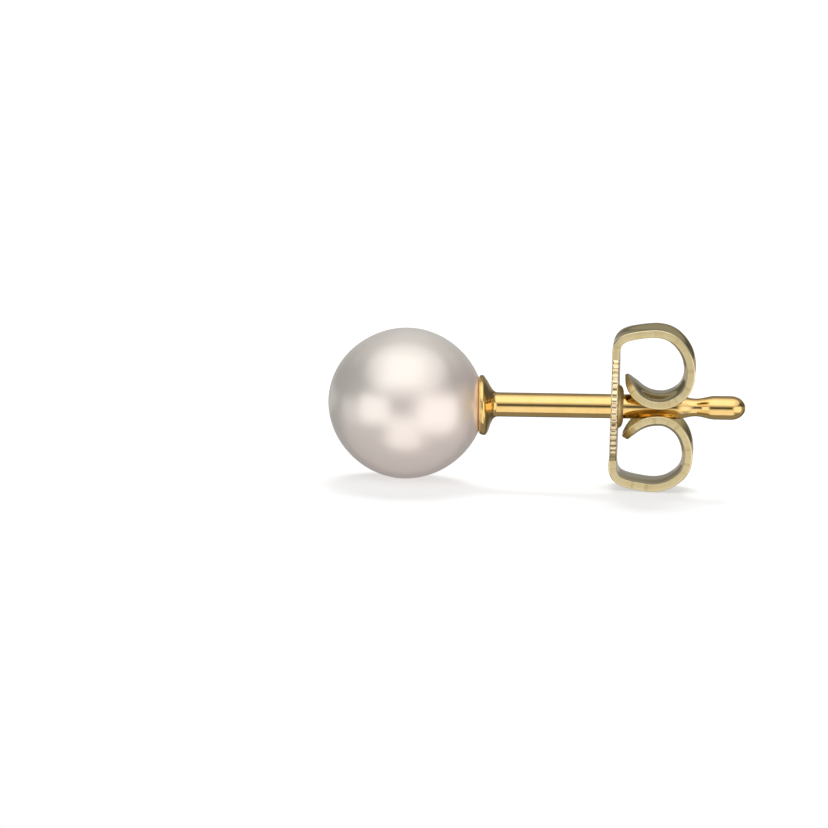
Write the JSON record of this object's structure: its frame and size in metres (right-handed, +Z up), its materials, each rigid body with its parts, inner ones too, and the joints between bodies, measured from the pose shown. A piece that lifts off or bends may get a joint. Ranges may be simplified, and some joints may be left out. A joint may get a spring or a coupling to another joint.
{
  "type": "pearl stud earring",
  "caption": "Pearl stud earring: a round pearl on a cupped gold post with a grooved end, and a scrolled ear nut that slides along the post.",
  "frame": {"origin": "middle of the earring's outline on the surface it lies on", "axes": "+X from the pearl towards the tip of the post, +Y across the post, +Z up; the post rises 1.6 degrees towards its tip, because the earring lies on its pearl and on the lower scroll of its nut"},
  "size_m": [0.0166, 0.006, 0.0065],
  "materials": {
    "nacre": "lustrous cream nacre with a faint pink overtone",
    "post_gold": "polished yellow gold",
    "nut_gold": "stamped pale yellow gold, satin on its cut edges"
  },
  "bodies": {
    "stud": {"pearl": "nacre", "post_and_cup": "post_gold"},
    "nut": {"ear_nut": "nut_gold"}
  },
  "joints": [
    {"name": "nut_slide", "type": "slide", "parent": "stud", "child": "nut", "axis": [0.9996, 0, 0.0283], "range_m": [-0.0044, 0.0056]}
  ]
}
